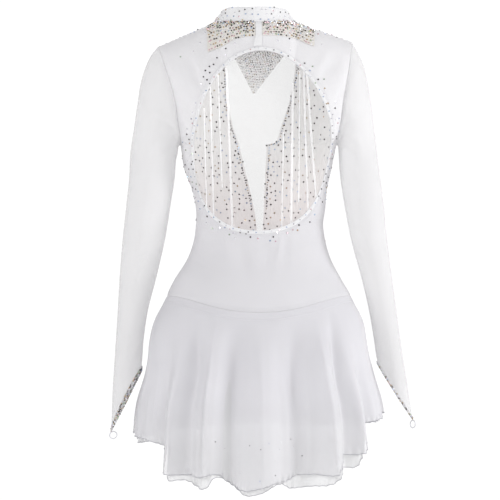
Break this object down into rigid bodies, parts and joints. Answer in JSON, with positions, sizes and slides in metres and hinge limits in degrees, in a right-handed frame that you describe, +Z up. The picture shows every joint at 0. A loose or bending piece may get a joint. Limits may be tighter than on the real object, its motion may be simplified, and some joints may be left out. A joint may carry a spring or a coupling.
{
  "type": "figure skating dress",
  "caption": "Long-sleeved skating dress with a stand collar, beaded yoke, large open back, pointed stoned cuffs and a flared two-layer chiffon skirt.",
  "frame": {"origin": "the middle of the neck base, between the shoulders, where the dress hangs from the wearer", "axes": "+Z up, along the dress; +Y towards the front, so the open back faces -Y; +X to the wearer's right"},
  "size_m": [0.5819, 0.3633, 0.9263],
  "materials": {
    "white_cloth": "matt stretch knit",
    "nude_backed_cloth": "matt stretch mesh, nude inside",
    "sheer_mesh": "sheer stretch mesh",
    "chiffon": "soft matt chiffon",
    "beads": "cloth covered with faceted stones"
  },
  "bodies": {
    "root": {"back_bodice": "white_cloth", "back_placket": "white_cloth", "briefs_back": "white_cloth", "briefs_front": "white_cloth", "cuff_band_left": "beads", "cuff_band_right": "beads", "finger_loop_left": "white_cloth", "finger_loop_right": "white_cloth", "front_bib": "beads", "front_insert": "sheer_mesh", "front_panel_left": "nude_backed_cloth", "front_panel_right": "nude_backed_cloth", "keyhole_binding": "beads", "skirt_under_back": "chiffon", "skirt_under_front": "chiffon", "skirt_upper_back": "chiffon", "skirt_upper_front": "chiffon", "sleeve_left": "sheer_mesh", "sleeve_right": "sheer_mesh", "stand_collar": "white_cloth", "yoke_tab_left": "beads", "yoke_tab_right": "beads"}
  },
  "joints": []
}
